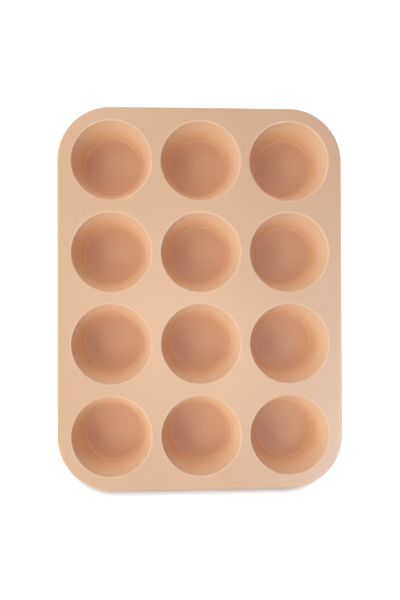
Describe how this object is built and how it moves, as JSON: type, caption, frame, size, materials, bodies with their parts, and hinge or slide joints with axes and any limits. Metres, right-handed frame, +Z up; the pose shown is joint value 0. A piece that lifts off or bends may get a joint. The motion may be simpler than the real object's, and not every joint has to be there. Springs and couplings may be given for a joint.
{
  "type": "silicone muffin mould",
  "caption": "Flat silicone deck with rounded corners and a grid of round tapered baking cups, whose soft floors push up to turn the bakes out.",
  "frame": {"origin": "on the resting plane under the cup feet, below the middle of the deck", "axes": "+Z up out of the open cups, +Y along the longer side towards the row at the top of the picture, +X along the shorter side towards the picture's right"},
  "size_m": [0.2496, 0.3344, 0.032],
  "materials": {
    "silicone": "matte moulded silicone, peach"
  },
  "bodies": {
    "tray": {"deck": "silicone", "cup_r1c1": "silicone", "cup_r1c2": "silicone", "cup_r1c3": "silicone", "cup_r2c1": "silicone", "cup_r2c2": "silicone", "cup_r2c3": "silicone", "cup_r3c1": "silicone", "cup_r3c2": "silicone", "cup_r3c3": "silicone", "cup_r4c1": "silicone", "cup_r4c2": "silicone", "cup_r4c3": "silicone"},
    "floor_r1c1": {"cup_floor_r1c1": "silicone"},
    "floor_r1c2": {"cup_floor_r1c2": "silicone"},
    "floor_r1c3": {"cup_floor_r1c3": "silicone"},
    "floor_r2c1": {"cup_floor_r2c1": "silicone"},
    "floor_r2c2": {"cup_floor_r2c2": "silicone"},
    "floor_r2c3": {"cup_floor_r2c3": "silicone"},
    "floor_r3c1": {"cup_floor_r3c1": "silicone"},
    "floor_r3c2": {"cup_floor_r3c2": "silicone"},
    "floor_r3c3": {"cup_floor_r3c3": "silicone"},
    "floor_r4c1": {"cup_floor_r4c1": "silicone"},
    "floor_r4c2": {"cup_floor_r4c2": "silicone"},
    "floor_r4c3": {"cup_floor_r4c3": "silicone"}
  },
  "joints": [
    {"name": "push_out_r1c1", "type": "slide", "parent": "tray", "child": "floor_r1c1", "axis": [0, 0, 1], "range_m": [0, 0.06], "stiffness_N_per_m": 200, "deforming": ["cup_r1c1"]},
    {"name": "push_out_r1c2", "type": "slide", "parent": "tray", "child": "floor_r1c2", "axis": [0, 0, 1], "range_m": [0, 0.06], "stiffness_N_per_m": 200, "deforming": ["cup_r1c2"]},
    {"name": "push_out_r1c3", "type": "slide", "parent": "tray", "child": "floor_r1c3", "axis": [0, 0, 1], "range_m": [0, 0.06], "stiffness_N_per_m": 200, "deforming": ["cup_r1c3"]},
    {"name": "push_out_r2c1", "type": "slide", "parent": "tray", "child": "floor_r2c1", "axis": [0, 0, 1], "range_m": [0, 0.06], "stiffness_N_per_m": 200, "deforming": ["cup_r2c1"]},
    {"name": "push_out_r2c2", "type": "slide", "parent": "tray", "child": "floor_r2c2", "axis": [0, 0, 1], "range_m": [0, 0.06], "stiffness_N_per_m": 200, "deforming": ["cup_r2c2"]},
    {"name": "push_out_r2c3", "type": "slide", "parent": "tray", "child": "floor_r2c3", "axis": [0, 0, 1], "range_m": [0, 0.06], "stiffness_N_per_m": 200, "deforming": ["cup_r2c3"]},
    {"name": "push_out_r3c1", "type": "slide", "parent": "tray", "child": "floor_r3c1", "axis": [0, 0, 1], "range_m": [0, 0.06], "stiffness_N_per_m": 200, "deforming": ["cup_r3c1"]},
    {"name": "push_out_r3c2", "type": "slide", "parent": "tray", "child": "floor_r3c2", "axis": [0, 0, 1], "range_m": [0, 0.06], "stiffness_N_per_m": 200, "deforming": ["cup_r3c2"]},
    {"name": "push_out_r3c3", "type": "slide", "parent": "tray", "child": "floor_r3c3", "axis": [0, 0, 1], "range_m": [0, 0.06], "stiffness_N_per_m": 200, "deforming": ["cup_r3c3"]},
    {"name": "push_out_r4c1", "type": "slide", "parent": "tray", "child": "floor_r4c1", "axis": [0, 0, 1], "range_m": [0, 0.06], "stiffness_N_per_m": 200, "deforming": ["cup_r4c1"]},
    {"name": "push_out_r4c2", "type": "slide", "parent": "tray", "child": "floor_r4c2", "axis": [0, 0, 1], "range_m": [0, 0.06], "stiffness_N_per_m": 200, "deforming": ["cup_r4c2"]},
    {"name": "push_out_r4c3", "type": "slide", "parent": "tray", "child": "floor_r4c3", "axis": [0, 0, 1], "range_m": [0, 0.06], "stiffness_N_per_m": 200, "deforming": ["cup_r4c3"]}
  ]
}
